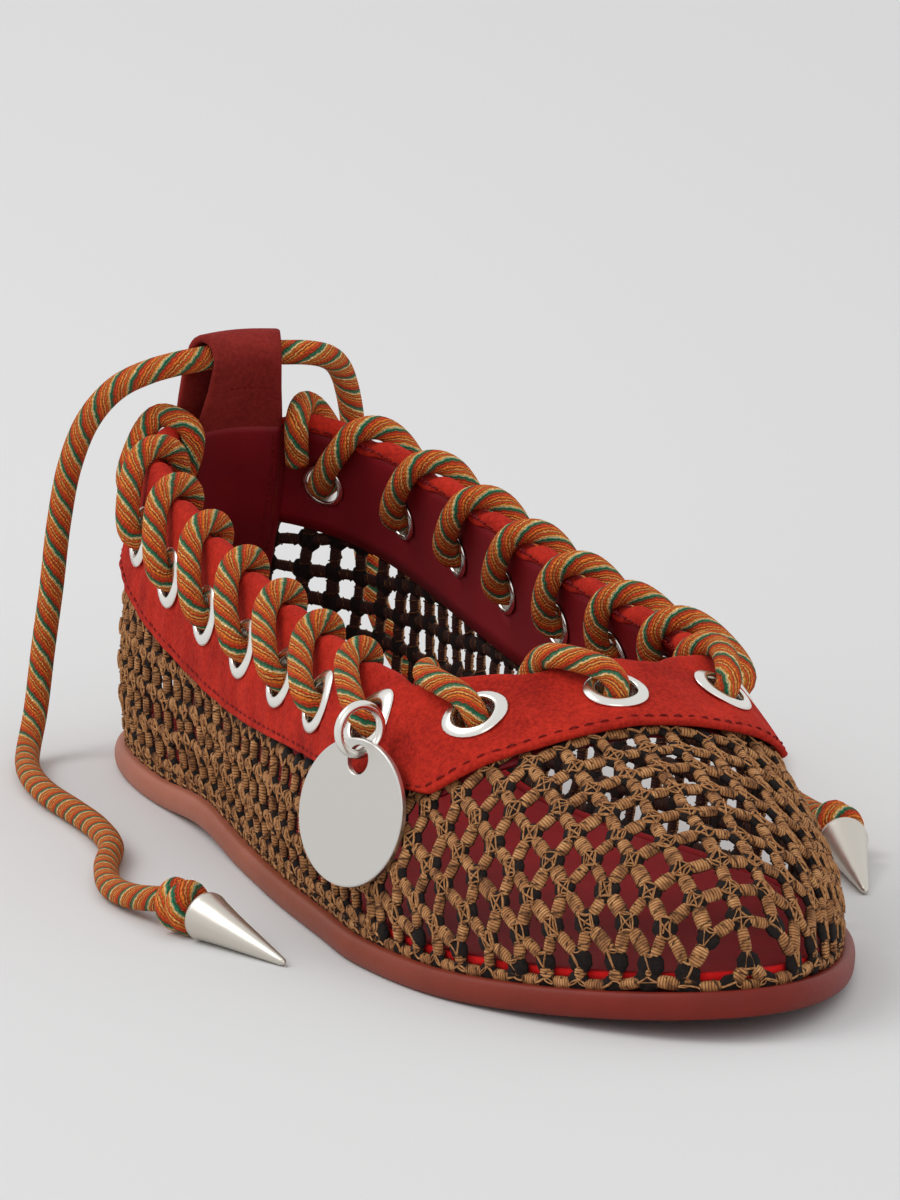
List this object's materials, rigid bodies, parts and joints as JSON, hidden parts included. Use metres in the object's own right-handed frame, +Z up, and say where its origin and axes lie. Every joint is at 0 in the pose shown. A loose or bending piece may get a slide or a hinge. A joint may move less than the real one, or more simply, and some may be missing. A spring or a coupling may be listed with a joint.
{
  "type": "mesh ballet flat",
  "caption": "Right ballet flat of knotted mesh, its suede collar whipped with braided cord through eyelets, with a heel tab, two ankle ties that end in cones, and a disc charm.",
  "frame": {"origin": "on the floor under the outsole, midway between its heel and toe ends and on the line through them", "axes": "+Z up, -Y towards the toe, +X towards the inner side of this right shoe"},
  "size_m": [0.1516, 0.25, 0.0778],
  "materials": {
    "sole_leather": "red brown leather, satin, rounded edge",
    "insole_leather": "maroon leather, matte",
    "net_yarn": "knotted tan and black yarn net",
    "band_suede": "orange red suede",
    "tab_suede": "dark red suede",
    "cord": "braided cord striped orange, rust, ochre and green",
    "eyelet_metal": "polished white silver",
    "charm_metal": "satin grey steel with a bright rim",
    "cone_metal": "satin cast silver"
  },
  "bodies": {
    "root": {"outsole": "sole_leather", "insole": "insole_leather", "net_upper": "net_yarn", "collar_band": "band_suede", "eyelet_01": "eyelet_metal", "eyelet_02": "eyelet_metal", "eyelet_03": "eyelet_metal", "eyelet_04": "eyelet_metal", "eyelet_05": "eyelet_metal", "eyelet_06": "eyelet_metal", "eyelet_07": "eyelet_metal", "eyelet_08": "eyelet_metal", "eyelet_09": "eyelet_metal", "eyelet_10": "eyelet_metal", "eyelet_11": "eyelet_metal", "eyelet_12": "eyelet_metal", "eyelet_13": "eyelet_metal", "eyelet_14": "eyelet_metal", "eyelet_15": "eyelet_metal", "eyelet_16": "eyelet_metal", "eyelet_17": "eyelet_metal", "eyelet_18": "eyelet_metal", "eyelet_19": "eyelet_metal", "lace": "cord", "heel_tab": "tab_suede", "jump_ring": "eyelet_metal", "charm": "charm_metal", "tie_outer": "cord", "tie_knot_outer": "cord", "tie_cone_outer": "cone_metal", "tie_inner": "cord", "tie_knot_inner": "cord", "tie_cone_inner": "cone_metal"}
  },
  "joints": []
}
